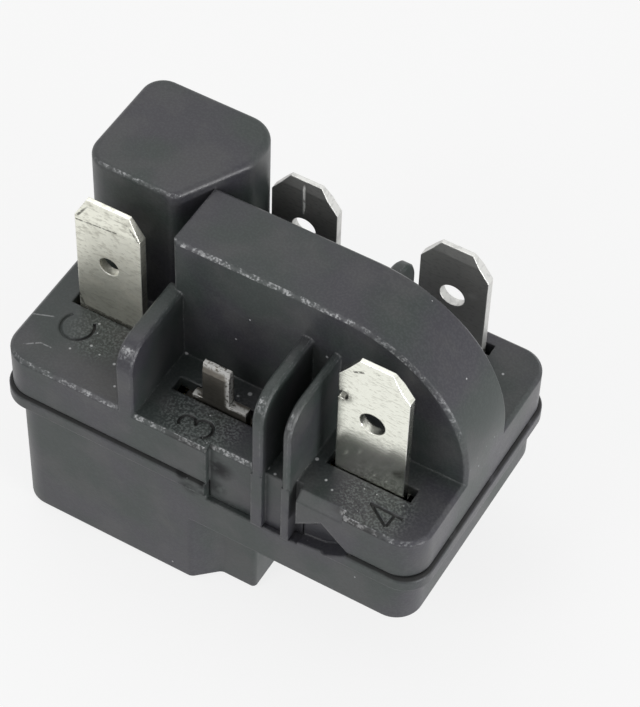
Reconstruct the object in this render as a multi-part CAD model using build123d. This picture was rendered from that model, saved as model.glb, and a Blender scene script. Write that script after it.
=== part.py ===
from build123d import *
import math
import os

# Start relay that plugs on the three pins of a hermetic compressor.
# Millimetres. X runs along the length, Y from the front to the back, Z up.
# The origin is under the middle of the housing, on the plane of the pin sockets' mouths.

# Three pin sockets in a triangle, one at the left and two at the right.
pin_spacing = 11.2
pin_margin = 6.05
pin_centre_x = 12.6

# Cover: terminal bays along its front, walls, and the heights of its skirt and pads.
bay_c_width = 11.75
bay_3_width = 11.25
bay_gap_width = 1.85
bay_4_width = 11.9
rear_bay_width = 11.95
cover_corner = 2.6
cover_wall = 1.2
pad_thickness = 1.2
skirt_height = 4.6
pad_edge = 0.3

# Base: socket block under the left part, tray over the whole length, rim at the joint.
block_drop = 8.45
tray_height = 4.95
rim_height = 1.7
rim_proud_x = 0.3
rim_proud_y = 0.2
rim_edge = 0.3
tray_inset_left = 0.95
tray_inset_right = 0.55
tray_inset_y = 0.2
tray_corner = 2.4
base_wall = 1.2
base_floor = 1.2
base_edge = 0.4
block_margin = 8.0
block_corner = 0.4
jog_margin = 2.7
jog_run = 2.0
jog_corner = 0.8
inner_corner = 1.2
lip_clearance = 0.1
lip_thickness = 1.0

# Hump over the starting disc: a straight foot, then a quarter circle up to the flat top.
hump_in_rib = 0.65
hump_shift = 0.35
hump_depth = 6.8
hump_foot = 1.05
hump_radius = 12.45
hump_edge = 0.3

# Tower over the overload protector.
tower_left = 1.65
tower_right = 14.1
tower_slant_run = 3.55
tower_ahead = 0.5
tower_back_gap = 0.9
tower_rear_side = 4.8
tower_height = 14.5
tower_edge = 0.6
tower_corner_front_left = 2.2
tower_corner_front_right = 1.4
tower_corner_slant = 1.6
tower_corner_back_right = 2.8
tower_corner_back_left = 2.0

# Ribs between the terminal bays: thickness, height over the pads, front corner.
rib_edge = 0.2
rib_root = 0.5
rib_left_thickness = 1.55
rib_left_height = 7.6
rib_left_corner = 2.55
rib_middle_thickness = 1.0
rib_middle_height = 9.4
rib_middle_corner = 2.95
rib_right_thickness = 0.7
rib_right_height = 9.0
rib_right_corner = 2.75
rib_rear_thickness = 1.1
rib_rear_height = 9.2
rib_rear_corner = 2.65
rib_rear_inset = 2.9

# Recessed front panel with its tongue, the groove at its right end and the pry window.
recess_run = 4.3
recess_depth = 0.65
tongue_drop = 2.25
tongue_clearance = 0.1
groove_width = 0.7
groove_depth = 1.3
pad_ramp = 0.8
pad_ramp_length = 4.25
window_peak_run = 2.35
window_length = 5.05
window_rise = 2.45
window_side_rise = 0.75
window_drop = 2.1
window_depth = 1.5

# Terminal tabs, folded from sheet, with their feet under the pads.
tab_width = 6.3
tab_thickness = 0.8
front_tab_y = 4.2
rear_tab_inset = 2.4
tab_c_x = 3.1
tab_c_ahead = 3.4
tab_3_margin = 1.95
tab_4_margin = 1.85
tab_mid_gap = 0.17
tab_right_margin = 5.55
tab_4_tip = 14.2
tab_c_tip = 13.5
rear_tab_tip = 10.8
tab_chamfer_width = 1.68
tab_chamfer_height = 2.3
tab_c_chamfer_width = 1.1
tab_c_chamfer_height = 2.1
tab_hole_radius = 1.15
tab_c_hole_radius = 0.95
tab_4_hole_drop = 6.7
tab_c_hole_drop = 6.8
rear_tab_hole_drop = 5.55
lead_in = 1.0
lead_in_c = 2.0
lead_in_depth = 0.2
nick_height = 9.45
nick_depth = 0.9
nick_width = 0.9
slot_side_gap = 0.75
slot_front_gap = 0.1
slot_back_gap = 0.55
rear_slot_back_gap = 0.3

# Cropped tab 3: what is left of its blade.
crop_left_end = 2.15
crop_right_start = 4.7
crop_height = 5.0
crop_left_gap = 1.2
crop_left_drop = 1.1
crop_left_height = 0.55
crop_right_height = 1.0

# Links under the feet, and the base's ribs that carry them.
link_thickness = 0.6
link_width = 2.8
link_margin = 0.2
tail_margin = 0.1
rest_rib_thickness = 1.0
rest_rib_left_run = 5.1
rest_rib_right_run = 2.65
foot_rest_inset = 0.2
rest_boss_gap = 0.8

# Pin sockets' bores.
socket_radius = 1.8
socket_depth = 5.0
socket_wall = 1.2
socket_funnel = 0.6

# Pin receptacles, each a rolled sleeve with a tail, in a spring ring.
sleeve_radius = 1.6
sleeve_wall = 0.4
sleeve_height = 6.5
sleeve_slit = 0.6
tail_width = 2.0
tail_root = 0.5
ring_wall = 0.5
ring_height = 3.0
ring_slit = 1.0
ring_clearance = 0.3

# Starting disc between two springs.
disc_room = 1.75
disc_thickness = 2.6
spring_thickness = 0.3
spring_width = 8.0
spring_offset = 0.55
spring_leg = 1.5
spring_slope = 1.8
spring_contact = 2.0
spring_top_leg = 1.2

# Overload protector in the tower.
protector_clearance = 0.3
protector_headroom = 0.9
protector_wall = 0.4
protector_corner = 1.5
header_thickness = 1.0
post_thickness = 0.8
post_width = 2.0
post_slot_gap = 0.05
post_rear_gap = 1.7
anchor_drop = 3.0
blade_lift = 6.5
blade_width = 2.8
blade_thickness = 0.3
fixed_flag = 2.0
flag_thickness = 0.5
contact_radius = 0.8
contact_height = 0.5
c_foot_length = 2.2
c_strip_gap = 0.65
c_cross_margin = 0.6

# Places along the length, from the cover's left side.
rib_left_start = bay_c_width
bay_3_start = rib_left_start + rib_left_thickness
rib_middle_start = bay_3_start + bay_3_width
rib_right_start = rib_middle_start + rib_middle_thickness + bay_gap_width
bay_4_start = rib_right_start + rib_right_thickness
cover_length = bay_4_start + bay_4_width
rib_rear_start = cover_length - rear_bay_width - rib_rear_thickness
hump_left = rib_left_start + hump_in_rib
tower_front_right = tower_right - tower_slant_run
recess_start = rib_middle_start - recess_run
recess_end = bay_4_start + groove_width
tab_3_x = bay_3_start + tab_3_margin
tab_4_x = bay_4_start + tab_4_margin
tab_right_x = cover_length - tab_right_margin - tab_width
rest_rib_left = tab_3_x + rest_rib_left_run
rest_rib_right = tab_4_x + rest_rib_right_run
right_pins_x = pin_centre_x + pin_spacing / (2 * math.sqrt(3))
jog_start = right_pins_x + jog_margin
block_right = right_pins_x + block_margin

# Places along the depth, from the cover's front side.
cover_depth = pin_spacing + 2 * pin_margin
middle = cover_depth / 2
hump_front = middle - hump_shift - hump_depth / 2
tower_front = middle - tower_ahead
tower_back = cover_depth - tower_back_gap
tower_slant_back = tower_back - tower_rear_side
rib_rear_end = cover_depth - rib_rear_inset
tab_c_y = tower_front - tab_c_ahead
rear_tab_y = cover_depth - rear_tab_inset
start_pin_y = middle - pin_spacing / 2
jog_y = start_pin_y - sleeve_radius - sleeve_wall - ring_wall - ring_clearance - base_wall

# Levels above the origin's plane.
z_tray = block_drop
z_rim = z_tray + tray_height
z_parting = z_rim + rim_height
z_pad = z_parting + skirt_height
z_under_pad = z_pad - pad_thickness
z_foot = z_under_pad - tab_thickness
z_link = z_foot - link_thickness
z_tray_floor = z_tray + base_floor
z_socket_top = socket_depth
z_sleeve_top = z_socket_top + sleeve_height
z_header = z_under_pad + header_thickness
z_case_top = z_pad + tower_height - cover_wall - protector_headroom
z_blade = z_header + blade_lift
z_hump_arc = z_pad + hump_foot
disc_radius = hump_radius - cover_wall - disc_room


def at_x(from_left):
    """X of a distance from the cover's left side."""
    return from_left - cover_length / 2


def at_y(from_front):
    """Y of a distance from the cover's front side."""
    return from_front - cover_depth / 2


def block(x0, x1, y0, y1, z0, z1):
    """Block between two corners."""
    centre = Pos((x0 + x1) / 2, (y0 + y1) / 2, (z0 + z1) / 2)
    return centre * Box(x1 - x0, y1 - y0, z1 - z0)


def outline(points, radii):
    """Closed face through points, each corner with its radius."""
    return make_face(FilletPolyline(*points, radius=radii, close=True))


def plate(face, z0, z1):
    """Face drawn in plan, as a prism between two heights."""
    return extrude(Pos(0, 0, z0) * face, amount=z1 - z0, dir=(0, 0, 1))


def along_x(face, x0, x1):
    """Face drawn in Y and Z, as a prism between two places along X."""
    return extrude(Pos(x0, 0, 0) * (Plane.YZ * face), amount=x1 - x0, dir=(1, 0, 0))


def along_y(face, y0, y1):
    """Face drawn in X and Z, as a prism between two places along Y."""
    return extrude(Pos(0, y0, 0) * (Plane.XZ * face), amount=y1 - y0, dir=(0, 1, 0))


def rounded(x0, x1, y0, y1, radius):
    """Rectangle in plan between two corners, with round corners."""
    return Pos((x0 + x1) / 2, (y0 + y1) / 2) * RectangleRounded(x1 - x0, y1 - y0, radius)


def edges_at(solid, axis, end):
    """Edges of the solid's last (-1) or first (0) face along an axis."""
    return solid.faces().sort_by(axis)[end].edges()


# Sides of the cover and of the base, which the pieces inside line up with.
left = at_x(0)
right = at_x(cover_length)
front = at_y(0)
back = at_y(cover_depth)
tray_left = left + tray_inset_left
tray_right = right - tray_inset_right
tray_front = front + tray_inset_y
tray_back = back - tray_inset_y
lip_offset = cover_wall + lip_clearance
cavity_offset = lip_offset + lip_thickness
hump_y0 = at_y(hump_front)
hump_y1 = hump_y0 + hump_depth
hump_inner_y0 = hump_y0 + cover_wall
hump_inner_y1 = hump_y1 - cover_wall
hump_arc_x = right - hump_radius


def hump_profile(inset):
    """Hump seen from the front: flat top, then a quarter circle and a straight foot at the right side."""
    radius = hump_radius - inset
    x0 = at_x(hump_left) + inset
    x1 = hump_arc_x + radius
    z1 = z_hump_arc + radius
    top = Line((x0, z1), (hump_arc_x, z1))
    arc = CenterArc((hump_arc_x, z_hump_arc), radius, 0, 90)
    rest = Polyline((x1, z_hump_arc), (x1, z_under_pad), (x0, z_under_pad), (x0, z1))
    return make_face(Wire([top, arc, *rest.edges()]))


def tower_outline():
    """Tower in plan: a rectangle whose front right corner is cut by a slanted wall."""
    points = [
        (at_x(tower_left), at_y(tower_front)),
        (at_x(tower_front_right), at_y(tower_front)),
        (at_x(tower_right), at_y(tower_slant_back)),
        (at_x(tower_right), at_y(tower_back)),
        (at_x(tower_left), at_y(tower_back)),
    ]
    radii = [
        tower_corner_front_left,
        tower_corner_front_right,
        tower_corner_slant,
        tower_corner_back_right,
        tower_corner_back_left,
    ]
    return outline(points, radii)


def tower_cavity():
    """Room inside the tower, one wall in from its outline."""
    return offset(tower_outline(), amount=-cover_wall, kind=Kind.INTERSECTION)


def rib(start, thickness, height, corner, y_open, y_hump):
    """Rib across the pads, from its open end with a round corner into the hump's wall."""
    top = z_pad + height
    points = [(y_open, z_under_pad), (y_open, top), (y_hump, top), (y_hump, z_under_pad)]
    body = along_x(outline(points, [0, corner, 0, 0]), at_x(start), at_x(start + thickness))
    sides = body.faces().filter_by(Axis.X).edges()
    upper = sides.filter_by(lambda edge: edge.center().Z > z_pad and abs(edge.center().Y - y_hump) > rib_edge)
    return chamfer(upper, rib_edge)


def window_outline(upper):
    """Pry window at the joint, seen from the front: its part above or below the joint."""
    x0 = at_x(recess_end)
    peak = x0 + window_peak_run
    x1 = x0 + window_length
    if upper:
        points = [(x0, z_parting), (x0, z_parting + window_side_rise), (peak, z_parting + window_rise),
                  (x1, z_parting)]
    else:
        points = [(x0, z_parting), (x1, z_parting), (peak, z_parting - rim_height),
                  (x0, z_parting - window_drop)]
    return make_face(Polyline(*points, close=True))


def pad_slope(y, size):
    """Corner to take off a pad's front edge, in Y and Z."""
    return make_face(Polyline((y, z_pad - size), (y + size, z_pad), (y, z_pad), close=True))


# Cover: one moulding with the pads, the hump, the tower, the ribs and the front panel.
def cover():
    skirt = plate(rounded(left, right, front, back, cover_corner), z_parting, z_pad)
    skirt = chamfer(edges_at(skirt, Axis.Z, -1), pad_edge)

    hump = along_y(hump_profile(0), hump_y0, hump_y1)
    crown = hump.faces().filter_by(Axis.Y).edges().filter_by(lambda edge: edge.center().Z > z_pad)
    hump = chamfer(crown, hump_edge)

    tower = plate(tower_outline(), z_under_pad, z_pad + tower_height)
    tower = fillet(edges_at(tower, Axis.Z, -1), tower_edge)

    body = skirt + hump + tower
    front_root = hump_y0 + rib_root
    front_ribs = [
        (rib_left_start, rib_left_thickness, rib_left_height, rib_left_corner),
        (rib_middle_start, rib_middle_thickness, rib_middle_height, rib_middle_corner),
        (rib_right_start, rib_right_thickness, rib_right_height, rib_right_corner),
    ]
    for start, thickness, height, corner in front_ribs:
        body += rib(start, thickness, height, corner, front, front_root)
    body += rib(rib_rear_start, rib_rear_thickness, rib_rear_height, rib_rear_corner, at_y(rib_rear_end),
                hump_y1 - rib_root)

    # The panel between the middle bays stands back, and the groove beside the right rib is deeper.
    panel_x0 = at_x(recess_start)
    panel_x1 = at_x(recess_end)
    panel_y = front + recess_depth
    panel_back = panel_y + cover_wall
    groove_x0 = at_x(rib_right_start + rib_right_thickness)
    groove_y = front + groove_depth
    inside = plate(rounded(left + cover_wall, right - cover_wall, front + cover_wall, back - cover_wall,
                           inner_corner), z_parting, z_under_pad)
    inside -= block(panel_x0 - cover_wall, panel_x1 + cover_wall, front, panel_back, z_parting, z_under_pad)
    body -= inside
    body -= block(panel_x0, panel_x1, front, panel_y, z_parting, z_pad)
    body += block(panel_x0, panel_x1, panel_y, panel_back, z_parting - tongue_drop, z_parting)
    body -= block(groove_x0, panel_x1, front, groove_y, z_parting - tongue_drop, z_pad)
    for start, thickness, height, corner in front_ribs[1:]:
        body += block(at_x(start), at_x(start + thickness), front, panel_y, z_parting - tongue_drop, z_pad)

    body -= along_y(hump_profile(cover_wall), hump_inner_y0, hump_inner_y1)
    body -= plate(tower_cavity(), z_under_pad, z_pad + tower_height - cover_wall)

    # Chamfer along the recessed pad, and the ramp beside the groove, over the pry window.
    body -= along_x(pad_slope(panel_y, pad_edge), panel_x0, at_x(rib_middle_start))
    body -= along_x(pad_slope(front, pad_ramp), panel_x1, panel_x1 + pad_ramp_length)
    body -= along_y(window_outline(True), front, front + cover_wall)

    for x0, y0, back_gap in tab_places():
        body -= block(x0 - slot_side_gap, x0 + tab_width + slot_side_gap, y0 - slot_front_gap,
                      y0 + tab_thickness + back_gap, z_under_pad, z_pad)
    return body


def tab_places():
    """Left side and front face of each blade, and its slot's gap behind it."""
    return [
        (at_x(tab_c_x), at_y(tab_c_y), slot_back_gap),
        (at_x(tab_3_x), at_y(front_tab_y), slot_back_gap),
        (at_x(tab_4_x), at_y(front_tab_y), slot_back_gap),
        (tab_mid_left(), at_y(rear_tab_y), rear_slot_back_gap),
        (at_x(tab_right_x), at_y(rear_tab_y), rear_slot_back_gap),
    ]


def tab_mid_left():
    """Left side of the rear middle tab, just clear of the tower's rear right corner."""
    radius = tower_corner_back_right
    into_corner = rear_tab_y - (tower_back - radius)
    return at_x(tower_right - radius + math.sqrt(radius**2 - into_corner**2) + tab_mid_gap)


def pin_places():
    """Axes of the three compressor pins: common, start and main."""
    reach = pin_spacing / math.sqrt(3)
    places = {}
    for name, turn in (("common", 180), ("start", -60), ("main", 60)):
        angle = math.radians(turn)
        places[name] = (at_x(pin_centre_x) + reach * math.cos(angle), at_y(middle) + reach * math.sin(angle))
    return places


# Base: one moulding with the tray, the socket block, the rim and the lip inside the cover.
def base():
    tray = plate(rounded(tray_left, tray_right, tray_front, tray_back, tray_corner), z_tray, z_rim)
    tray = chamfer(edges_at(tray, Axis.Z, 0), base_edge)

    block_x1 = at_x(block_right)
    jog_x = at_x(jog_start)
    points = [
        (tray_left, tray_front),
        (jog_x, tray_front),
        (jog_x + jog_run, at_y(jog_y)),
        (block_x1, at_y(jog_y)),
        (block_x1, tray_back),
        (tray_left, tray_back),
    ]
    socket_block = plate(outline(points, [tray_corner, jog_corner, jog_corner, block_corner, block_corner,
                                          tray_corner]), 0, z_rim)
    socket_block = chamfer(edges_at(socket_block, Axis.Z, 0), base_edge)

    rim = plate(rounded(left - rim_proud_x, right + rim_proud_x, front - rim_proud_y, back + rim_proud_y,
                        cover_corner), z_rim, z_parting)
    rim = chamfer(rim.faces().filter_by(Axis.Z).edges(), rim_edge)
    body = tray + socket_block + rim

    lip_top = z_foot
    body += plate(rounded(left + lip_offset, right - lip_offset, front + lip_offset, back - lip_offset,
                          inner_corner), z_parting - rim_edge, lip_top)

    cavity_x0 = left + cavity_offset
    cavity_x1 = right - cavity_offset
    cavity_y0 = front + cavity_offset
    cavity_y1 = back - cavity_offset
    body -= plate(rounded(cavity_x0, cavity_x1, cavity_y0, cavity_y1, inner_corner), z_tray_floor, lip_top)
    well_x1 = block_x1 - base_wall
    well_y = at_y(jog_y) + base_wall
    step = well_y - cavity_y0
    well = [
        (cavity_x0, cavity_y0),
        (jog_x - step, cavity_y0),
        (jog_x, well_y),
        (well_x1, well_y),
        (well_x1, cavity_y1),
        (cavity_x0, cavity_y1),
    ]
    body -= plate(outline(well, [inner_corner, 0, 0, block_corner, block_corner, inner_corner]),
                  base_floor, z_tray_floor)

    # Notch for the cover's tongue, the lip's gap behind it and the lower part of the pry window.
    notch_x0 = at_x(recess_start) - tongue_clearance
    notch_x1 = at_x(recess_end) + tongue_clearance
    notch_z = z_parting - tongue_drop - tongue_clearance
    panel_margin = cover_wall + lip_clearance
    body -= block(notch_x0, notch_x1, front - rim_proud_y, cavity_y0, notch_z, z_parting)
    body -= block(at_x(recess_start) - panel_margin, at_x(recess_end) + panel_margin, front, cavity_y0,
                  z_parting, lip_top)
    body -= along_y(window_outline(False), front - rim_proud_y, front - rim_proud_y + window_depth)

    standing = (Align.CENTER, Align.CENTER, Align.MIN)
    funnel = Cone(socket_radius + socket_funnel, socket_radius, socket_funnel, align=standing)
    for x, y in pin_places().values():
        body += Pos(x, y, 0) * Cylinder(socket_radius + socket_wall, z_socket_top, align=standing)
    for x, y in pin_places().values():
        body -= Pos(x, y, 0) * Cylinder(socket_radius, z_socket_top, align=standing)
        body -= Pos(x, y, 0) * funnel
    return body + rest_ribs(cavity_y0, cavity_y1)


def rest_ribs(y0, y1):
    """Ribs of the base that the feet, the links and the protector rest on."""
    link_front = start_link_front()
    link_back = main_link_back()
    ribs = []
    for start, floor in ((rest_rib_left, base_floor), (rest_rib_right, z_tray_floor)):
        x0 = at_x(start)
        x1 = x0 + rest_rib_thickness
        ribs.append(block(x0, x1, y0, link_front, floor, z_foot))
        ribs.append(block(x0, x1, link_front, link_front + link_width, floor, z_link))
        ribs.append(block(x0, x1, link_back - link_width, link_back, floor, z_link))
        ribs.append(block(x0, x1, link_back, y1, floor, z_foot))

    # Under the C terminal: a rib at the bend, one under its strip, and one under the protector's header.
    tab_x = at_x(tab_c_x)
    tab_y = at_y(tab_c_y)
    bend_x = tab_x + (tab_width - rest_rib_thickness) / 2
    ribs.append(block(bend_x, bend_x + rest_rib_thickness, y0, tab_y + tab_thickness, base_floor, z_foot))
    rest_y0 = pin_places()["common"][1] + socket_radius + socket_wall + rest_boss_gap
    strip_x = tab_x + foot_rest_inset
    ribs.append(block(strip_x, strip_x + rest_rib_thickness, rest_y0, y1, base_floor, z_foot))
    header_x = protector_outline(0).bounding_box().max.X
    header_y = protector_outline(0).bounding_box().max.Y
    ribs.append(block(header_x - rest_rib_thickness, header_x, rest_y0, header_y, base_floor, z_under_pad))
    return ribs


def start_link_front():
    """Front side of the start link, one link's width before the sleeve's tail ends."""
    y = pin_places()["start"][1]
    return y + sleeve_radius + sleeve_wall + tail_margin - link_width


def main_link_back():
    """Back side of the main link, one link's width behind the sleeve's tail."""
    y = pin_places()["main"][1]
    return y - sleeve_radius - sleeve_wall - tail_margin + link_width


# Terminals: tabs folded from sheet, the blade up through a slot, the foot under the pad.
def folded_tab(x0, y0, tip, foot_end, lead=lead_in, corner_width=tab_chamfer_width,
               corner_height=tab_chamfer_height):
    """Tab whose foot runs from its blade to a place along Y, in front of it or behind it."""
    z_tip = z_pad + tip
    outer, inner = (y0, y0 + tab_thickness) if foot_end > y0 else (y0 + tab_thickness, y0)
    section = outline([(outer, z_tip), (outer, z_foot), (foot_end, z_foot), (foot_end, z_under_pad),
                       (inner, z_under_pad), (inner, z_tip)], [0, tab_thickness, 0, 0, 0, 0])
    tab = along_x(section, x0, x0 + tab_width)
    for side, inward in ((x0, 1), (x0 + tab_width, -1)):
        corner = Polyline((side, z_tip), (side + inward * corner_width, z_tip),
                          (side, z_tip - corner_height), close=True)
        tab -= along_y(make_face(corner), y0, y0 + tab_thickness)
    for face, inward in ((y0, 1), (y0 + tab_thickness, -1)):
        bevel = Polyline((face, z_tip), (face + inward * lead_in_depth, z_tip), (face, z_tip - lead),
                         close=True)
        tab -= along_x(make_face(bevel), x0, x0 + tab_width)
    return tab


def blade_hole(x, y0, z, radius):
    """Round hole through a blade."""
    return along_y(Pos(x, z) * Circle(radius), y0, y0 + tab_thickness)


def terminal_c():
    x0 = at_x(tab_c_x)
    y0 = at_y(tab_c_y)
    pin_x = pin_places()["common"][0]
    tab = folded_tab(x0, y0, tab_c_tip, y0 + c_foot_length, lead_in_c, tab_c_chamfer_width,
                     tab_c_chamfer_height)
    tab -= blade_hole(x0 + tab_width / 2, y0, z_pad + tab_c_tip - tab_c_hole_drop, tab_c_hole_radius)
    cross_y0 = fixed_post_y() - c_cross_margin
    cross_y1 = fixed_post_y() + post_thickness + c_cross_margin
    strip_x1 = pin_x - post_width / 2 - c_strip_gap
    tab += block(x0, strip_x1, y0 + tab_thickness, cross_y1, z_foot, z_under_pad)
    tab += block(x0, pin_x + post_width / 2, cross_y0, cross_y1, z_foot, z_under_pad)
    return tab


def terminal_3():
    x0 = at_x(tab_3_x)
    y0 = at_y(front_tab_y)
    tab = folded_tab(x0, y0, crop_height, start_link_front() + link_width)
    steps = [
        (crop_left_gap, -crop_left_drop),
        (crop_left_end, crop_left_height),
        (crop_right_start, crop_height),
        (tab_width, crop_right_height),
    ]
    start = 0
    for end, height in steps:
        if height < crop_height:
            tab -= block(x0 + start, x0 + end, y0, y0 + tab_thickness, z_pad + height, z_pad + crop_height)
        start = end
    return tab


def terminal_4():
    x0 = at_x(tab_4_x)
    y0 = at_y(front_tab_y)
    tab = folded_tab(x0, y0, tab_4_tip, hump_inner_y0)
    tab -= blade_hole(x0 + tab_width / 2, y0, z_pad + tab_4_tip - tab_4_hole_drop, tab_hole_radius)
    nick_radius = nick_width / 2
    nick_x = x0 + nick_depth - nick_radius
    tab -= blade_hole(nick_x, y0, z_pad + nick_height, nick_radius)
    return tab - block(x0, nick_x, y0, y0 + tab_thickness, z_pad + nick_height - nick_radius,
                       z_pad + nick_height + nick_radius)


def rear_terminal(x0, foot_end):
    y0 = at_y(rear_tab_y)
    hole_z = z_pad + rear_tab_tip - rear_tab_hole_drop
    tab = folded_tab(x0, y0, rear_tab_tip, foot_end)
    return tab - blade_hole(x0 + tab_width / 2, y0, hole_z, tab_hole_radius)


# Links: strips under the feet, from each right-hand pin to its terminals.
def link(pin, y0):
    x0 = pin_places()[pin][0] - tail_width / 2 - link_margin
    x1 = at_x(rest_rib_right) + rest_rib_thickness
    return block(x0, x1, y0, y0 + link_width, z_link, z_foot)


# Receptacles: a sleeve rolled round the pin and slit along one side, with a tail up to its link.
def receptacle(pin, turn, tail_top):
    x, y = pin_places()[pin]
    outer = sleeve_radius + sleeve_wall
    sleeve = plate(Circle(outer) - Circle(sleeve_radius), z_socket_top, z_sleeve_top)
    sleeve -= block(-sleeve_slit / 2, sleeve_slit / 2, -outer, 0, z_socket_top, z_sleeve_top)
    tail = block(-tail_width / 2, tail_width / 2, sleeve_radius, outer, z_sleeve_top - tail_root, tail_top)
    return Pos(x, y, 0) * Rot(0, 0, turn) * (sleeve + tail)


# Spring rings that hold the sleeves closed on the pins.
def spring_ring(pin, turn):
    x, y = pin_places()[pin]
    inner = sleeve_radius + sleeve_wall
    low = z_socket_top + (sleeve_height - ring_height) / 2
    ring = plate(Circle(inner + ring_wall) - Circle(inner), low, low + ring_height)
    ring -= block(-ring_slit / 2, ring_slit / 2, -inner - ring_wall, 0, low, low + ring_height)
    return Pos(x, y, 0) * Rot(0, 0, turn) * ring


# Starting disc: a round pill standing on edge on the tray's floor, in the middle of the hump.
def disc():
    disc_y = (hump_inner_y0 + hump_inner_y1) / 2
    face = Pos(hump_arc_x, z_tray_floor + disc_radius) * Circle(disc_radius)
    return along_y(face, disc_y - disc_thickness / 2, disc_y + disc_thickness / 2)


# Contact springs: formed strips between the hump's walls and the disc's faces.
def disc_spring(wall_y, inward):
    gap = (hump_inner_y1 - hump_inner_y0 - disc_thickness) / 2
    reach = inward * (gap - spring_thickness)
    thickness = inward * spring_thickness
    z1 = z_pad + spring_leg
    z2 = z1 + spring_slope
    z3 = z2 + spring_contact
    z4 = z3 + spring_slope
    z5 = z4 + spring_top_leg
    wall_side = [(wall_y, z_foot), (wall_y, z1), (wall_y + reach, z2), (wall_y + reach, z3), (wall_y, z4),
                 (wall_y, z5)]
    disc_side = [(y + thickness, z) for y, z in reversed(wall_side)]
    spring_x = hump_arc_x + spring_offset
    return along_x(make_face(Polyline(*wall_side, *disc_side, close=True)),
                   spring_x - spring_width / 2, spring_x + spring_width / 2)


# Overload protector: header and case in the tower, two posts, the bimetal blade and its contacts.
def protector_outline(inset):
    """Plan of the protector inside the tower's walls, clear of the slanted one."""
    run = tower_right - tower_front_right
    rise = tower_slant_back - tower_front
    y0 = at_y(tower_front) + cover_wall + protector_clearance
    slant = (cover_wall + protector_clearance) * math.hypot(run, rise) / rise
    x0 = at_x(tower_left) + cover_wall + protector_clearance
    x1 = at_x(tower_front_right) + (y0 - at_y(tower_front)) * run / rise - slant
    y1 = at_y(tower_back) - cover_wall - protector_clearance
    return rounded(x0 + inset, x1 - inset, y0 + inset, y1 - inset, protector_corner - inset)


def anchor_post_y():
    """Front face of the anchor post, against the back of the common receptacle's tail."""
    return pin_places()["common"][1] + sleeve_radius + sleeve_wall


def fixed_post_y():
    """Front face of the fixed post, near the header's back."""
    return protector_outline(0).bounding_box().max.Y - post_rear_gap - post_thickness


def protector_header():
    x = pin_places()["common"][0]
    plate_body = plate(protector_outline(0), z_under_pad, z_header)
    for y in (anchor_post_y(), fixed_post_y()):
        plate_body -= block(x - post_width / 2 - post_slot_gap, x + post_width / 2 + post_slot_gap,
                            y - post_slot_gap, y + post_thickness + post_slot_gap, z_under_pad, z_header)
    return plate_body


def protector_case():
    shell = plate(protector_outline(0), z_header, z_case_top)
    return shell - plate(protector_outline(protector_wall), z_header, z_case_top - protector_wall)


def anchor_post():
    x = pin_places()["common"][0]
    y = anchor_post_y()
    return block(x - post_width / 2, x + post_width / 2, y, y + post_thickness, z_foot - anchor_drop, z_blade)


def fixed_post():
    x = pin_places()["common"][0]
    y = fixed_post_y()
    top = z_blade - 2 * contact_height
    post = block(x - post_width / 2, x + post_width / 2, y, y + post_thickness, z_under_pad, top)
    return post + block(x - post_width / 2, x + post_width / 2, y + post_thickness - fixed_flag,
                        y + post_thickness, top - flag_thickness, top)


def contact(level):
    """Contact button, number 0 on the fixed post and 1 under the blade."""
    x = pin_places()["common"][0]
    y = fixed_post_y() + post_thickness - fixed_flag / 2
    top = z_blade - (1 - level) * contact_height
    return plate(Pos(x, y) * Circle(contact_radius), top - contact_height, top)


def bimetal_blade():
    x = pin_places()["common"][0]
    return block(x - blade_width / 2, x + blade_width / 2, anchor_post_y(), fixed_post_y() + post_thickness,
                 z_blade, z_blade + blade_thickness)


parts = {
    "cover": cover(),
    "base": base(),
    "terminal_c": terminal_c(),
    "terminal_3": terminal_3(),
    "terminal_4": terminal_4(),
    "terminal_rear_middle": rear_terminal(tab_mid_left(), main_link_back() - link_width),
    "terminal_rear_right": rear_terminal(at_x(tab_right_x), hump_inner_y1),
    "start_link": link("start", start_link_front()),
    "main_link": link("main", main_link_back() - link_width),
    "common_receptacle": receptacle("common", 0, z_foot),
    "start_receptacle": receptacle("start", 0, z_link),
    "main_receptacle": receptacle("main", 180, z_link),
    "common_spring_ring": spring_ring("common", 0),
    "start_spring_ring": spring_ring("start", 0),
    "main_spring_ring": spring_ring("main", 180),
    "starting_disc": disc(),
    "disc_spring_front": disc_spring(hump_inner_y0, 1),
    "disc_spring_rear": disc_spring(hump_inner_y1, -1),
    "protector_header": protector_header(),
    "protector_case": protector_case(),
    "protector_anchor_post": anchor_post(),
    "protector_fixed_post": fixed_post(),
    "protector_fixed_contact": contact(0),
    "protector_moving_contact": contact(1),
    "protector_bimetal_blade": bimetal_blade(),
}

os.makedirs("parts", exist_ok=True)
for name, solid in parts.items():
    export_step(solid, f"parts/{name}.step")
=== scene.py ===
import math

import bmesh
import bpy
import numpy as np
from mathutils import Matrix, Vector


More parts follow.
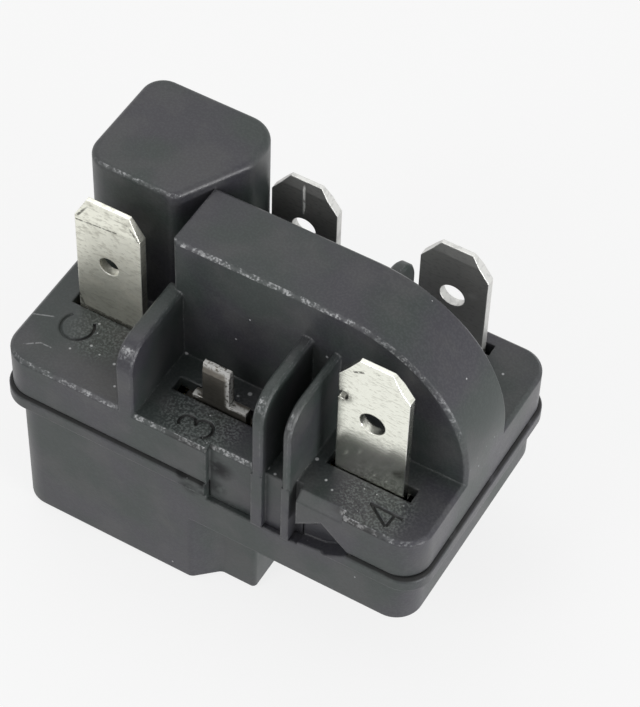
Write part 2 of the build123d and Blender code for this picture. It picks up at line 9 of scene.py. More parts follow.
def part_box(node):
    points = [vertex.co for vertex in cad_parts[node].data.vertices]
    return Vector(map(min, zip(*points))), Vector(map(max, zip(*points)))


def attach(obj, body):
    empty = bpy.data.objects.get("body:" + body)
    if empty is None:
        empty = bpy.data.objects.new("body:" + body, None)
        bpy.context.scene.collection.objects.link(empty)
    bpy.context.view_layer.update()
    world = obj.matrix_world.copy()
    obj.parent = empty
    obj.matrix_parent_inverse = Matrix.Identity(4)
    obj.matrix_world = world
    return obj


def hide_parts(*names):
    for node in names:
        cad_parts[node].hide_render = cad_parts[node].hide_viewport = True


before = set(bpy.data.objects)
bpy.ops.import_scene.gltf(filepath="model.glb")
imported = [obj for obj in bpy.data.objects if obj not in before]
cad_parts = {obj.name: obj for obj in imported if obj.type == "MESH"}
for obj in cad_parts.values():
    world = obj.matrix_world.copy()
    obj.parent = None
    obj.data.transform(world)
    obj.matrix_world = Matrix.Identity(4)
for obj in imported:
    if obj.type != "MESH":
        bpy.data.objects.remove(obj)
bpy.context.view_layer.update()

# The camera looks down on the pads from the front and the right, and leans by two degrees. Its place is in
# metres, and its long side takes in the height of the picture.
camera_place = (0.073036, -0.126581, 0.198963)
camera_right = (0.863601, 0.503600, 0.024094)
camera_up = (-0.403442, 0.661605, 0.632071)
camera = bpy.data.objects.new("camera", bpy.data.cameras.new("camera"))
camera.data.lens = 141.37
camera.data.sensor_width = 36.0
camera.data.clip_start = 0.01
bpy.context.scene.collection.objects.link(camera)
turned = Matrix((camera_right, camera_up, Vector(camera_right).cross(Vector(camera_up)))).transposed()
camera.matrix_world = Matrix.Translation(camera_place) @ turned.to_4x4()
bpy.context.scene.camera = camera


# The housing is two mouldings of one dark grey, mineral-filled plastic, closed on each other at the joint.
# Its skin is satin, with the mould's fine stipple, whose raised tops are painted lighter and pits darker, a
# painted highlight and shade. Its edges are pale, partly worn and partly painted highlight, most where the
# front edges face the front lamp.
# It is dark in the joint, the strokes of its marks hold painted shade, the top of the front panel has patches
# of painted shade, and it has a few scratches and bits of bright dust.
class Wire:
    """A socket in an expression. Each sum, product or comparison of it adds a Math node."""

    def __init__(self, nodes, socket):
        self.nodes = nodes
        self.socket = socket

    def math(self, operation, *values):
        """A Math node on the values."""
        return self.nodes.node("ShaderNodeMath", {"operation": operation}, dict(enumerate(values)))

    def other(self, output):
        """Another output of the same node."""
        return Wire(self.nodes, self.socket.node.outputs[output])

    def __add__(self, value):
        return self.math("ADD", self, value)

    def __sub__(self, value):
        return self.math("SUBTRACT", self, value)

    def __rsub__(self, value):
        return self.math("SUBTRACT", value, self)

    def __mul__(self, value):
        return self.math("MULTIPLY", self, value)

    def __gt__(self, value):
        return self.math("GREATER_THAN", self, value)

    def __abs__(self):
        return self.math("ABSOLUTE", self)

    __radd__ = __add__
    __rmul__ = __mul__


class Nodes:
    """The nodes of a material or a world, emptied first."""

    def __init__(self, owner):
        owner.use_nodes = True
        self.tree = owner.node_tree
        self.tree.nodes.clear()

    def node(self, kind, settings=None, sockets=None, out=0):
        """Adds a node, sets its settings, then gives its sockets their values or links."""
        made = self.tree.nodes.new(kind)
        for key, value in (settings or {}).items():
            setattr(made, key, value)
        for key, value in (sockets or {}).items():
            socket = made.inputs[key]
            if isinstance(value, Wire):
                self.tree.links.new(value.socket, socket)
            elif socket.type == "RGBA" and len(value) == 3:
                socket.default_value = (*value, 1.0)
            else:
                socket.default_value = value
        return Wire(self, made.outputs[out]) if made.outputs else made


class Finish(Nodes):
    """A material in the making. Lengths are in metres and masks go from 0 to 1."""

    def __init__(self, name):
        self.material = bpy.data.materials.new(name)
        super().__init__(self.material)
        self.place = self.node("ShaderNodeTexCoord", out="Object")

    def rise(self, value, low, high):
        """0 where value is low, 1 where it is high, and a smooth step between."""
        settings = {"interpolation_type": "SMOOTHSTEP", "clamp": True}
        return self.node("ShaderNodeMapRange", settings, {"Value": value, "From Min": low, "From Max": high})

    def within(self, value, middle, reach, soft):
        """1 within reach of the middle, 0 further than soft past that."""
        return self.rise(abs(value - middle), reach + soft, reach)

    def clip(self, value):
        """The value kept from 0 to 1."""
        return self.node("ShaderNodeClamp", None, {"Value": value})

    def parts(self, vector):
        """The three parts of a vector."""
        x = self.node("ShaderNodeSeparateXYZ", None, {0: vector}, out="X")
        return x, x.other("Y"), x.other("Z")

    def vector(self, operation, one, other, out=0):
        """Vector Math on two vectors."""
        return self.node("ShaderNodeVectorMath", {"operation": operation}, {0: one, 1: other}, out)

    def noise(self, size, detail=2.0, stretch=(1.0, 1.0, 1.0)):
        """Noise about 0.5 with patches about size across, drawn out by stretch along x, y and z."""
        squeeze = tuple(1.0 / part for part in stretch)
        place = self.vector("MULTIPLY", self.place, squeeze)
        return self.node("ShaderNodeTexNoise", None, {"Vector": place, "Scale": 1.0 / size, "Detail": detail})

    def specks(self, spacing, radius, share):
        """Round specks of that radius, in a share of the cells of a Voronoi grid of that spacing."""
        cells = self.node("ShaderNodeTexVoronoi", None, {"Vector": self.place, "Scale": 1.0 / spacing})
        picked = self.node("ShaderNodeSeparateColor", None, {"Color": cells.other("Color")}) > 1.0 - share
        return picked * self.rise(cells, radius / spacing, 0.6 * radius / spacing)

    def blend(self, share, one, other):
        """The first colour where share is 0 and the other where it is 1."""
        return self.node("ShaderNodeMix", {"data_type": "RGBA"}, {0: share, 6: one, 7: other}, out=2)

    def near(self, centre, inner, outer):
        """1 within inner of a point, 0 past outer."""
        return self.rise(self.vector("DISTANCE", self.place, centre, out="Value"), outer, inner)

    def along(self, start, end, width):
        """1 on the straight line from start to end, 0 at width from it."""
        line = Vector(end) - Vector(start)
        from_start = self.vector("SUBTRACT", self.place, tuple(start))
        reach = self.vector("DOT_PRODUCT", from_start, tuple(line / line.length_squared), out="Value")
        kept = self.clip(reach)
        foot = self.node("ShaderNodeVectorMath", {"operation": "SCALE"}, {0: tuple(line), "Scale": kept})
        return self.rise(self.vector("DISTANCE", from_start, foot, out="Value"), width, 0.4 * width)

    def rounded(self, radius):
        """The normal of the surface with its edges rounded to radius."""
        return self.node("ShaderNodeBevel", {"samples": 6}, {"Radius": radius})

    def edges(self, rounded, first=0.985, full=0.85):
        """1 on edges, from how far the rounded normal leans from the true one, and 0 on faces."""
        true_normal = self.node("ShaderNodeNewGeometry", out="True Normal")
        return self.rise(self.vector("DOT_PRODUCT", rounded, true_normal, out="Value"), first, full)

    def bumped(self, height, depth, normal):
        """The normal with a relief on it that is depth high where height is 1."""
        return self.node("ShaderNodeBump", None, {"Height": height, "Distance": depth, "Normal": normal})

    def close(self, **sockets):
        """Ends the material with a Principled shader. Gives the material."""
        named = {key.replace("_", " "): value for key, value in sockets.items()}
        shader = self.node("ShaderNodeBsdfPrincipled", None, named)
        self.node("ShaderNodeOutputMaterial", None, {"Surface": shader})
        return self.material


pad_level = 0.0197
joint_level = 0.01512
front_side = -0.0090
panel_middle = 0.0068
panel_reach = 0.0066
window_middle = 0.0102
window_reach = 0.0022
hump_left = -0.0076
rib_middles = (-0.0070, 0.0053, 0.0079)
rib_reach = 0.0004
bluish_grey = (0.036, 0.035, 0.043)
greenish_grey = (0.031, 0.039, 0.037)
stain_grey = (0.056, 0.056, 0.058)
stipple_painted_highlight = (0.15, 0.165, 0.16)
stipple_painted_shade = (0.012, 0.012, 0.012)
panel_shade_black = (0.004, 0.004, 0.005)
stroke_shade_and_joint_black = (0.004, 0.004, 0.004)
edge_rub_and_sheen_grey = (0.19, 0.195, 0.2)
fleck_and_highlight_grey = (0.36, 0.37, 0.38)
dust_grey = (0.55, 0.56, 0.57)


def housing_plastic(marks, scratches, dust, panel_shade_spots):
    """The plastic of both mouldings. Marks are where the pads' stipple is coarse and dusty, with stronger
    painted highlight on its tops. The last list gives patches of painted shade at the top of the front panel.
    """
    finish = Finish("housing_plastic")
    across, forward, level = finish.parts(finish.place)
    height_above = level - pad_level
    upward = finish.rise(finish.parts(finish.node("ShaderNodeNewGeometry", out="Normal"))[2], 0.75, 0.95)
    ahead, up = finish.parts(finish.node("ShaderNodeNewGeometry", out="True Normal"))[1:]
    cloud = finish.noise(0.009, detail=3.0)
    stain = finish.noise(0.0040, detail=4.0)
    stipple = finish.noise(0.00021, detail=3.0)
    grain = finish.noise(0.0009, detail=2.0)
    broken = finish.noise(0.0007, detail=3.0)
    fine = finish.noise(0.00020, detail=2.0)
    rounded = finish.rounded(0.0003)

    # The sunk strokes of the marks, painted dark as painted shade in their grooves, and the dark joint, which
    # the front panel covers.
    marked = sum(finish.near(place, inner, outer) for place, inner, outer in marks)
    coarse = marked * upward
    stroke_shade = finish.clip(marked) * finish.rise(height_above, -0.00003, -0.00007)
    stroke_shade = stroke_shade * finish.rise(height_above, -0.00045, -0.0003)
    at_joint = finish.within(level, joint_level, 0.00018, 0.00012)
    on_panel = finish.rise(forward, front_side, front_side - 0.0005)
    on_panel = on_panel * finish.within(across, panel_middle, panel_reach, 0.0003)
    joint = at_joint * (1.0 - on_panel) * finish.rise(finish.noise(0.003), 0.26, 0.40)

    # Pale edges, partly wear and partly painted highlight: a faint rub on all edges, and pale flecks on the
    # front chamfers that face forwards and up towards the front lamp, on the hump's left corner and on the
    # ribs' edges. The window's border has none.
    edge_rub_and_sheen = finish.edges(rounded) * finish.rise(broken, 0.42, 0.6) * (1.0 - joint)
    slanted = finish.rise(ahead, -0.5, -0.6) * finish.rise(ahead, -0.92, -0.85)
    hump_corner = finish.within(across, hump_left, 0.0004, 0.0002) * finish.rise(height_above, 0.0006, 0.0009)
    crest = slanted * finish.rise(up + hump_corner, 0.1, 0.45)
    window_edge = finish.within(across, window_middle, window_reach, 0.0004)
    window_edge = window_edge * finish.rise(height_above, 0.0002, 0.0)
    crest = crest * finish.rise(height_above, -0.0005, -0.0003) * (1.0 - window_edge)
    on_ribs = sum(finish.within(across, middle, rib_reach, 0.0002) for middle in rib_middles)
    on_ribs = on_ribs * finish.rise(height_above, 0.0004, 0.002)
    flecks_and_highlight = crest + finish.edges(rounded, 0.94, 0.82) * on_ribs
    flecks_and_highlight = finish.clip(flecks_and_highlight * finish.rise(broken, 0.36, 0.60) * finish.rise(fine, 0.40, 0.62) * (1.0 - joint))

    # Bright dust: a little everywhere, more on the coarse stipple and at the foot of the walls, and single
    # bits. The scratches are as bright.
    at_foot = finish.rise(height_above, 0.0022, 0.0002) * finish.rise(height_above, -0.0001, 0.0)
    dust_on_all = finish.specks(0.0016, 0.00009, 0.10)
    dust_on_marks = finish.specks(0.0006, 0.00008, 0.30) * coarse
    dust_at_foot = finish.specks(0.0008, 0.0001, 0.25) * at_foot * (1.0 - upward)
    scratched = sum(finish.along(start, end, width) for start, end, width in scratches)
    scratched = scratched * finish.rise(finish.noise(0.0004), 0.4, 0.55)
    dotted = sum(finish.near(place, radius * 0.5, radius) for place, radius in dust)
    bright = finish.clip(dust_on_all + dust_on_marks + dust_at_foot + scratched * 0.5 + dotted)
    # Patches of painted shade at the top of the front panel, broken by noise.
    panel_shade = finish.clip(sum(finish.near(place, inner, outer) for place, inner, outer in panel_shade_spots))
    panel_shade = panel_shade * finish.rise(finish.noise(0.0010), 0.3, 0.55)

    body = finish.blend(finish.rise(cloud, 0.40, 0.60), bluish_grey, greenish_grey)
    body = finish.blend(finish.rise(stain, 0.44, 0.66) * 0.6, body, stain_grey)
    # The stipple's raised tops are painted lighter and its pits darker: painted highlight and painted shade
    # on its relief, strongest on the coarse ground of the marks.
    body = finish.blend(finish.rise(stipple, 0.48, 0.60) * (coarse * 0.45 + 0.08), body, stipple_painted_highlight)
    body = finish.blend(finish.rise(stipple, 0.46, 0.34) * (coarse * 0.6 + 0.1), body, stipple_painted_shade)
    # Painted shade at the top of the front panel.
    body = finish.blend(panel_shade * 0.9, body, panel_shade_black)
    # Pale edges and flecks, partly wear and partly painted highlight.
    body = finish.blend(edge_rub_and_sheen * 0.22, body, edge_rub_and_sheen_grey)
    body = finish.blend(flecks_and_highlight * 0.38, body, fleck_and_highlight_grey)
    # The dark joint, and painted shade in the marks' strokes.
    body = finish.blend(finish.clip(joint + stroke_shade) * 0.92, body, stroke_shade_and_joint_black)
    body = finish.blend(bright * 0.75, body, dust_grey)
    sunken = finish.noise(0.0036, detail=1.0)
    height = stipple * (coarse * 1.6 + 0.35) + grain * 0.4 + bright * 0.6 + sunken * 1.4
    relief = 0.00003
    roughness = 0.40 + (cloud - 0.5) * 0.3 + (stipple - 0.5) * 0.25 - edge_rub_and_sheen * 0.08 + (joint + panel_shade) * 0.4
    return finish.close(
        Base_Color=body,
        Roughness=roughness,
        Specular_IOR_Level=0.42,
        Normal=finish.bumped(height, relief, rounded),
        Coat_Weight=flecks_and_highlight,
        Coat_Roughness=0.22,
    )


marked_ground = [
    ((-0.0136, -0.0054, pad_level), 0.0018, 0.0036),
    ((-0.0016, -0.0086, pad_level), 0.0024, 0.0044),
    ((0.0146, -0.0092, pad_level), 0.0022, 0.0040),
]
scratches = [
    ((-0.01856, -0.00997, pad_level), (-0.01744, -0.00912, pad_level), 0.00009),
    ((-0.01735, -0.00912, pad_level), (-0.01642, -0.00911, pad_level), 0.00008),
    ((-0.01978, -0.00684, pad_level), (-0.01792, -0.00611, pad_level), 0.00009),
]
dust = [
    ((-0.01500, -0.00836, pad_level), 0.00013),
    ((-0.01364, -0.00719, pad_level), 0.00015),
    ((-0.01254, -0.00765, pad_level), 0.00011),
    ((-0.01095, -0.00786, pad_level), 0.00016),
    ((-0.00964, -0.00982, pad_level), 0.00014),
    ((-0.01055, -0.00576, pad_level), 0.00014),
    ((-0.01149, -0.00560, pad_level), 0.00011),
    ((-0.01437, -0.00486, pad_level), 0.00014),
    ((0.00547, -0.01047, pad_level), 0.00022),
    ((0.00627, -0.01069, pad_level), 0.00016),
    ((0.01008, -0.00908, pad_level), 0.00015),
    ((0.01099, -0.00969, pad_level), 0.00013),
    ((0.00839, -0.00763, pad_level), 0.00020),
    ((-0.00164, -0.00375, 0.02459), 0.00011),
    ((-0.00717, -0.00375, 0.02097), 0.00012),
    ((-0.00033, -0.00375, 0.02782), 0.00010),
    ((0.00683, -0.00375, 0.02769), 0.00016),
    ((0.00641, -0.00375, 0.02294), 0.00013),
    ((-0.00043, -0.00541, pad_level), 0.00014),
    ((0.00030, -0.00471, pad_level), 0.00024),
    ((-0.00643, -0.00372, pad_level), 0.00022),
    ((0.00087, -0.01165, 0.01456), 0.00016),
    ((-0.00150, -0.01180, 0.01500), 0.00013),
    ((0.01714, 0.00802, pad_level), 0.00014),
]
# Patches of painted shade at the top of the front panel: centre, inner and outer radius.
panel_shade_spots = [
    ((-0.00128, -0.01180, 0.01360), 0.0002, 0.0014),
    ((0.00080, -0.01180, 0.01450), 0.0004, 0.0016),
    ((0.00120, -0.01100, 0.01720), 0.0002, 0.0018),
    ((-0.00200, -0.01180, 0.01510), 0.0002, 0.0008),
]
plastic = housing_plastic(marked_ground, scratches, dust, panel_shade_spots)


def paint(name, material):
    """Gives a node of the frame its material."""
    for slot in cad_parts[name].material_slots:
        slot.material = material


paint("base", plastic)


# The cover is the upper moulding, with the hump, the tower, the ribs and the pads round the tabs. The mould
# sinks the terminals' marks C, 3 and 4 into its pads, read from the left side, as fine open grooves. Another
# fine groove runs round it where it meets the base.
def arc(centre, radius, first, last, count=28):
    """Points on a circle at the pads' level, from one angle to another in degrees:
    centre + radius (cos angle, sin angle)."""
    turn = np.radians(np.linspace(first, last, count))
    flat = np.array(centre) + radius * np.stack([np.cos(turn), np.sin(turn)], 1)
    return np.concatenate([flat, np.full((count, 1), pad_level)], 1)


def line(start, end, count=2):
    """Points on a straight line at the pads' level: (1 - share) start + share end."""
    share = np.linspace(0.0, 1.0, count)[:, None]
    flat = np.array(start) * (1 - share) + np.array(end) * share
    return np.concatenate([flat, np.full((count, 1), pad_level)], 1)


def rod(points, width, depth, sides=8):
    """A closed rod along points on a level. Ring i is an ellipse about point i, width across and twice
    depth high: point + cos(angle) width/2 sideways + sin(angle) depth upwards."""
    ahead = np.gradient(points, axis=0)
    ahead = ahead / np.linalg.norm(ahead, axis=1, keepdims=True)
    upwards = np.array([0.0, 0.0, 1.0])
    sideways = np.cross(upwards, ahead)
    turn = 2 * np.pi * np.arange(sides) / sides
    rings = points[:, None] + np.cos(turn)[None, :, None] * sideways[:, None] * width / 2
    rings = rings + np.sin(turn)[None, :, None] * upwards * depth
    index = np.arange(len(points) * sides).reshape(len(points), sides)
    beside = np.roll(index, -1, axis=1)
    quads = np.stack([index[:-1], beside[:-1], beside[1:], index[1:]], -1).reshape(-1, 4)
    ends = [index[0][::-1].tolist(), index[-1].tolist()]
    return rings.reshape(-1, 3), quads.tolist() + ends


def joined(shapes):
    """One mesh of several (vertices, faces)."""
    points = np.concatenate([vertices for vertices, _ in shapes])
    starts = np.cumsum([0] + [len(vertices) for vertices, _ in shapes[:-1]])
    faces = []
    for (_, corners), start in zip(shapes, starts):
        faces += [[corner + int(start) for corner in face] for face in corners]
    mesh = bpy.data.meshes.new("shapes")
    mesh.from_pydata(points.tolist(), [], faces)
    return mesh


def whole_faces(mesh):
    """Joins the triangles of each flat face."""
    work = bmesh.new()
    work.from_mesh(mesh)
    bmesh.ops.dissolve_limit(work, angle_limit=math.radians(0.4), verts=work.verts, edges=work.edges)
    work.to_mesh(mesh)
    work.free()


def merged_copy(node, name):
    """A new object with the node's mesh, its loose triangles merged and its own normals left off."""
    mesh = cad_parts[node].data.copy()
    mesh.attributes.remove(mesh.attributes["custom_normal"])
    work = bmesh.new()
    work.from_mesh(mesh)
    bmesh.ops.remove_doubles(work, verts=work.verts, dist=0.000002)
    work.to_mesh(mesh)
    work.free()
    whole_faces(mesh)
    piece = bpy.data.objects.new(name, mesh)
    bpy.context.scene.collection.objects.link(piece)
    return piece


def applied(piece):
    """Makes what the piece's modifiers give its own mesh."""
    old = piece.data
    shown = piece.evaluated_get(bpy.context.evaluated_depsgraph_get())
    piece.data = bpy.data.meshes.new_from_object(shown)
    piece.modifiers.clear()
    bpy.data.meshes.remove(old)


def shade(piece, sharp_angle):
    """Smooth shading with flat faces kept flat, and edges sharper than the angle kept."""
    whole_faces(piece.data)
    piece.data.shade_smooth()
    piece.data.set_sharp_from_angle(angle=math.radians(sharp_angle))
    weighted = piece.modifiers.new("flat_faces", "WEIGHTED_NORMAL")
    weighted.keep_sharp = True
    weighted.weight = 100
    applied(piece)


def housing_line(first_x, last_x, level, corner):
    """The cover's outline at a level, from the front at first_x round by the left and the back to the
    front at last_x: straight sides, and at the corners quarter circles, middle + corner (cos, sin)."""
    reach_x, reach_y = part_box("cover")[1].xy
    points = [(first_x, -reach_y)]
    for side_x, side_y, first in ((-1, -1, 270), (-1, 1, 180), (1, 1, 90), (1, -1, 0)):
        turn = np.radians(np.linspace(first, first - 90, 8))
        middle_x = side_x * (reach_x - corner)
        middle_y = side_y * (reach_y - corner)
        points += list(zip(middle_x + corner * np.cos(turn), middle_y + corner * np.sin(turn)))
    points.append((last_x, -reach_y))
    flat = np.array(points)
    return np.concatenate([flat, np.full((len(flat), 1), level)], 1)


stroke_width = 0.00028
stroke_depth = 0.00020
mark_c = [arc((-0.01576, -0.00605), 0.00143, 138, 404)]
mark_3 = [arc((-0.00254, -0.00988), 0.00072, 5, 224), arc((-0.00111, -0.00983), 0.00087, -70, 165)]
mark_4 = [
    line((0.01424, -0.00919), (0.01728, -0.00929)),
    line((0.01430, -0.00921), (0.01640, -0.01062)),
    line((0.01644, -0.01060), (0.01652, -0.00925)),
]
strokes = [rod(points, stroke_width, stroke_depth) for points in mark_c + mark_3 + mark_4]
groove_level = 0.01516
groove_width = 0.0008
groove_height = 0.00017
panel_left = 0.0002
panel_right = 0.0140
cover_corner = 0.0026
groove = rod(housing_line(panel_left, panel_right, groove_level, cover_corner), groove_width, groove_height)
cutter = bpy.data.objects.new("cutter", joined(strokes + [groove]))
bpy.context.scene.collection.objects.link(cutter)
cover = merged_copy("cover", "marked_cover")
cut = cover.modifiers.new("marks", "BOOLEAN")
cut.operation = "DIFFERENCE"
cut.solver = "EXACT"
cut.use_self = True
cut.object = cutter
applied(cover)
bpy.data.objects.remove(cutter)
shade(cover, sharp_angle=32)
cover.data.materials.clear()
cover.data.materials.append(plastic)
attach(cover, "root")
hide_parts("cover")


# The terminals are tabs of sheet brass, tin plated. The plate has dulled in patches and is scuffed level by
# the connectors that are pushed over it. Their edges are painted brighter than their faces, partly bright cut
# metal and partly painted glint, and the tabs are painted darker towards the bottom, a painted shade.
edge_glint_and_fleck_white = (0.95, 0.95, 0.92)
worn_through_and_shade = (0.05, 0.048, 0.04)
fresh_cut_and_glint = (0.8, 0.8, 0.78)


def tin(name, pale, dull, roughness, grain_depth, dulled_and_shaded, edge_glint_share=0.6, dark_and_shade_lines=(), light_and_glint_lines=()):
    """Tin plate: pale where sound, dull in a share of patches, with a fine grain that runs across the tab.
    Lines are (start, end, width): dark lines are scratches where the plate is through, and painted shade;
    light lines are fresh scratches, and painted glints. The edges are painted bright, partly cut metal and
    partly painted glint, and the lower part is painted darker, a painted shade."""
    finish = Finish(name)
    patches = finish.rise(finish.noise(0.0019, detail=7.0), 0.62 - dulled_and_shaded * 0.3, 0.86 - dulled_and_shaded * 0.3)
    scuffs = finish.noise(0.0002, detail=4.0, stretch=(2.6, 2.6, 1.0))
    pits = finish.noise(0.00016, detail=2.0)
    rounded = finish.rounded(0.00012)
    edge = finish.edges(rounded, 0.99, 0.90)
    colour = finish.blend(patches * 0.6, pale, dull)
    colour = finish.blend(finish.rise(scuffs, 0.5, 0.66) * 0.5, colour, dull)
    # The edges are painted near white: partly bright cut metal, partly a painted glint.
    colour = finish.blend(edge * edge_glint_share, colour, edge_glint_and_fleck_white)
    rough_line = finish.rise(finish.noise(0.0003, detail=3.0), 0.34, 0.52)
    metallic = 1.0
    # Dark lines: scratches through the plate, and painted shade.
    if dark_and_shade_lines:
        drawn = finish.clip(sum(finish.along(*line) for line in dark_and_shade_lines)) * rough_line
        colour = finish.blend(drawn * 0.85, colour, worn_through_and_shade)
    # Light lines: fresh scratches, and painted glints.
    if light_and_glint_lines:
        drawn = finish.clip(sum(finish.along(*line) for line in light_and_glint_lines)) * rough_line
        colour = finish.blend(drawn, colour, fresh_cut_and_glint)
        metallic = 1.0 - drawn
    level = finish.parts(finish.place)[2]
    # Painted shade: the tab is painted duller and darker towards the bottom.
    painted_shade_down = finish.rise(level, pad_level + 0.011, pad_level + 0.003)
    colour = finish.blend(painted_shade_down * dulled_and_shaded * 0.7, colour, dull)
    low_down = finish.rise(level, pad_level + 0.0035, pad_level + 0.0005)
    colour = finish.blend(finish.specks(0.0008, 0.00009, 0.25) * low_down, colour, edge_glint_and_fleck_white)
    normal = finish.bumped(scuffs * 0.7 + pits * 0.5, grain_depth, rounded)
    rough = roughness + patches * 0.12 + (scuffs - 0.5) * 0.12
    return finish.close(Base_Color=colour, Metallic=metallic, Roughness=rough, Normal=normal)


tip_c = [
    ((-0.01660, -0.0039, 0.03120), (-0.01569, -0.0039, 0.03250), 0.00016),
    ((-0.01569, -0.0039, 0.03250), (-0.01190, -0.0039, 0.03240), 0.00016),
    ((-0.01190, -0.0039, 0.03240), (-0.01077, -0.0039, 0.03120), 0.00016),
    ((-0.01680, -0.0039, 0.03060), (-0.01290, -0.0039, 0.03100), 0.00010),
    ((-0.01690, -0.0039, 0.01990), (-0.01060, -0.0039, 0.01985), 0.00022),
    ((-0.01690, -0.0039, 0.02120), (-0.01650, -0.0039, 0.02000), 0.00018),
]
# Painted glints along the top edge, the right edge and the foot of tab 3.
glints_3 = [
    ((-0.00260, -0.00708, 0.02475), (-0.00013, -0.00708, 0.02475), 0.00070),
    ((-0.00005, -0.00720, 0.02440), (-0.00005, -0.00720, 0.02070), 0.00060),
    ((0.00010, -0.00730, 0.02075), (0.00155, -0.00730, 0.02075), 0.00050),
    ((-0.00345, -0.00730, 0.02025), (-0.00325, -0.00730, 0.02025), 0.00050),
]
# Painted shade in the nick at the left edge of tab 4, then two scratches near its tip.
nick_shade_and_scratches_4 = [
    ((0.01000, -0.00705, 0.02925), (0.01040, -0.00705, 0.02915), 0.00120),
    ((0.01130, -0.00745, 0.03262), (0.01210, -0.00745, 0.03300), 0.00016),
    ((0.01279, -0.00745, 0.03357), (0.01370, -0.00745, 0.03330), 0.00014),
]
scored_rear = [((-0.00299, 0.00925, 0.03040), (-0.00291, 0.00925, 0.02674), 0.00017)]
tin_c = tin("tin_matte", pale=(0.90, 0.90, 0.80), dull=(0.42, 0.41, 0.35), roughness=0.42,
            grain_depth=0.00002, dulled_and_shaded=0.5, dark_and_shade_lines=tip_c)
tin_3 = tin("tin_brown", pale=(0.22, 0.205, 0.18), dull=(0.12, 0.11, 0.095), roughness=0.34,
            grain_depth=0.00001, dulled_and_shaded=0.6, light_and_glint_lines=glints_3)
tin_4 = tin("tin_bright", pale=(0.88, 0.89, 0.80), dull=(0.58, 0.58, 0.51), roughness=0.17,
            grain_depth=0.000004, dulled_and_shaded=0.1, dark_and_shade_lines=nick_shade_and_scratches_4)
tin_rear = tin("tin_rear", pale=(0.66, 0.66, 0.64), dull=(0.46, 0.46, 0.45), roughness=0.50,
               grain_depth=0.000006, dulled_and_shaded=0.3, light_and_glint_lines=scored_rear)
paint("terminal_c", tin_c)
paint("terminal_3", tin_3)
paint("terminal_4", tin_4)
paint("terminal_rear_middle", tin_rear)
paint("terminal_rear_right", tin_rear)


# The links and receptacles inside are stamped from bare brass strip, drawn and rolled bright. Handling has
# left them browner in patches, and rolling has left fine lines along the strip.
def metal(name, pale, dull, roughness, size, stretch, depth):
    """Bare metal: pale, dull in patches of tarnish, with drawn lines of that size, stretch and depth."""
    finish = Finish(name)
    patches = finish.rise(finish.noise(0.0021, detail=4.0), 0.45, 0.7)
    lines = finish.noise(size, detail=3.0, stretch=stretch)
    rounded = finish.rounded(0.00008)
    colour = finish.blend(patches * 0.7, pale, dull)
    # The edges are painted paler, a painted edge highlight.
    colour = finish.blend(finish.edges(rounded) * 0.4, colour, tuple(min(1.0, part * 1.3) for part in pale))
    normal = finish.bumped(lines, depth, rounded)
    rough = roughness + patches * 0.15 + (lines - 0.5) * 0.15
    return finish.close(Base_Color=colour, Metallic=1.0, Roughness=rough, Normal=normal)


brass = metal("bare_brass", pale=(0.78, 0.58, 0.26), dull=(0.50, 0.33, 0.13), roughness=0.28,
              size=0.0003, stretch=(6.0, 6.0, 1.0), depth=0.000006)
for name in ("start_link", "main_link", "common_receptacle", "start_receptacle", "main_receptacle",
             "protector_anchor_post", "protector_fixed_post"):
    paint(name, brass)


# The rings round the receptacles, the disc's springs and the protector's blade are thin spring steel, blued
# a little by its heat treatment.
spring = metal("spring_steel", pale=(0.56, 0.56, 0.58), dull=(0.34, 0.35, 0.40), roughness=0.30,
               size=0.00025, stretch=(1.0, 1.0, 8.0), depth=0.000004)
for name in ("common_spring_ring", "start_spring_ring", "main_spring_ring", "disc_spring_front",
             "disc_spring_rear", "protector_bimetal_blade"):
    paint(name, spring)


# The protector's case is deep drawn from plain steel sheet, with the draw's fine lines up its side.
case = metal("drawn_steel", pale=(0.58, 0.58, 0.57), dull=(0.40, 0.39, 0.37), roughness=0.36,
             size=0.0002, stretch=(1.0, 1.0, 10.0), depth=0.000008)
paint("protector_case", case)


# The two contacts are silver buttons, staked to the post and the blade, with a grey bloom of sulphide.
silver = metal("contact_silver", pale=(0.88, 0.87, 0.84), dull=(0.52, 0.50, 0.47), roughness=0.26,
               size=0.0002, stretch=(1.0, 1.0, 1.0), depth=0.000004)
paint("protector_fixed_contact", silver)
paint("protector_moving_contact", silver)


# The starting disc is a sintered ceramic, dark and grainy, with a silver layer fired on its two flat faces.
disc = Finish("disc_ceramic")
turned_back = disc.parts(disc.node("ShaderNodeNewGeometry", out="Normal"))[1]
silvered = disc.rise(abs(turned_back), 0.9, 0.97)
clay = disc.noise(0.0004, detail=4.0)
fired = disc.blend(disc.rise(clay, 0.35, 0.65), (0.075, 0.072, 0.07), (0.12, 0.115, 0.11))
paint("starting_disc", disc.close(
    Base_Color=disc.blend(silvered, fired, (0.62, 0.61, 0.58)),
    Metallic=silvered,
    Roughness=0.75 - silvered * 0.35 + (clay - 0.5) * 0.2,
    Normal=disc.bumped(clay, 0.00001, disc.rounded(0.0001)),
))


# The protector's header is punched from brown phenolic paper board, whose fibres show in its face.
board = Finish("header_board")
fibres = board.noise(0.0004, detail=4.0, stretch=(7.0, 1.0, 1.0))
paint("protector_header", board.close(
    Base_Color=board.blend(board.rise(fibres, 0.35, 0.7), (0.16, 0.075, 0.03), (0.27, 0.14, 0.06)),
    Roughness=0.42 + (fibres - 0.5) * 0.3,
    Normal=board.bumped(fibres, 0.00001, board.rounded(0.00008)),
))


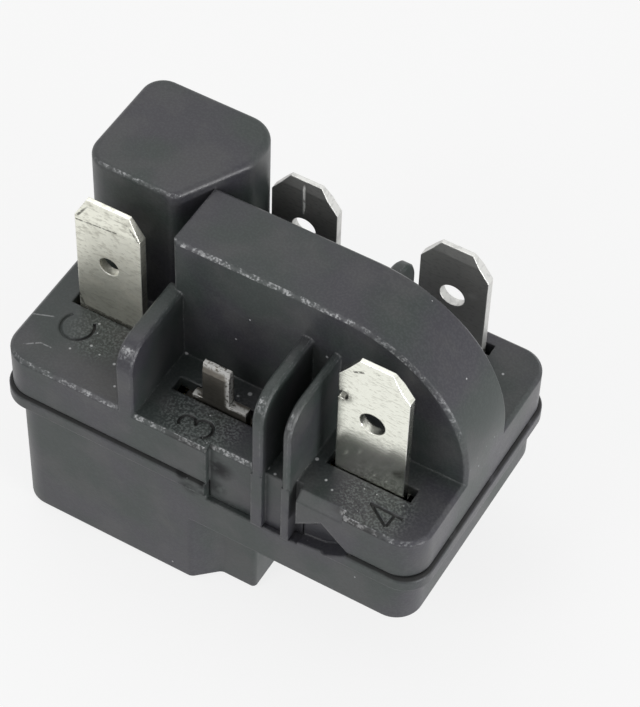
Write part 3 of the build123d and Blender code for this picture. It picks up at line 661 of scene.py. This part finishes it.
# The floor is a plain white table top. The camera and the reflections see it and the sky near to white, and
# the floor keeps the part's shadow.
def seen(nodes):
    """1 for what the camera, a reflection or glass sees, 0 for what lights the part."""
    path = nodes.node("ShaderNodeLightPath", out="Is Camera Ray")
    glass = path.other("Is Transmission Ray")
    return path.math("MAXIMUM", path.math("MAXIMUM", path, path.other("Is Glossy Ray")), glass)


table_reach = 1.5
table_level = -0.00002
table_mesh = bpy.data.meshes.new("table_top")
corners = [(-table_reach, -table_reach), (table_reach, -table_reach)]
corners += [(table_reach, table_reach), (-table_reach, table_reach)]
table_mesh.from_pydata([(x, y, table_level) for x, y in corners], [], [(0, 1, 2, 3)])
table_top = bpy.data.objects.new("table_top", table_mesh)
bpy.context.scene.collection.objects.link(table_top)
pale = Finish("table_top")
plain = pale.node("ShaderNodeBsdfDiffuse", None, {"Color": (0.78, 0.78, 0.78)})
white = pale.node("ShaderNodeEmission", None, {"Color": (1.0, 1.0, 1.0)})
mixed = pale.node("ShaderNodeMixShader", None, {0: seen(pale) * 0.8, 1: plain, 2: white})
pale.node("ShaderNodeOutputMaterial", None, {"Surface": mixed})
table_mesh.materials.append(pale.material)


# The light is a white room and three soft boxes: a broad one overhead, one in front to the left, which
# catches the front edges, and one low at the right, which lights the right side and the tabs' faces.
room = bpy.data.worlds.new("room")
bpy.context.scene.world = room
sky = Nodes(room)
brightness = seen(sky) * 0.38 + 0.62
background = sky.node("ShaderNodeBackground", None, {"Color": (1.0, 1.0, 1.0), "Strength": brightness})
sky.node("ShaderNodeOutputWorld", None, {"Surface": background})


part_middle = Vector((0.0, 0.0, 0.018))


def soft_box(name, place, size, power):
    """A square lamp of that size, aimed at the middle of the part."""
    lamp = bpy.data.objects.new(name, bpy.data.lights.new(name, "AREA"))
    lamp.data.size = size
    lamp.data.energy = power
    aim = part_middle - Vector(place)
    lamp.matrix_world = Matrix.Translation(place) @ aim.to_track_quat("-Z", "Y").to_matrix().to_4x4()
    bpy.context.scene.collection.objects.link(lamp)


soft_box("overhead", (-0.17, 0.10, 0.41), size=0.28, power=0.25)
soft_box("front", (-0.15, -0.38, 0.33), size=0.18, power=0.45)
soft_box("right", (0.42, -0.10, 0.06), size=0.16, power=1.3)
bpy.context.scene.view_settings.view_transform = "Standard"
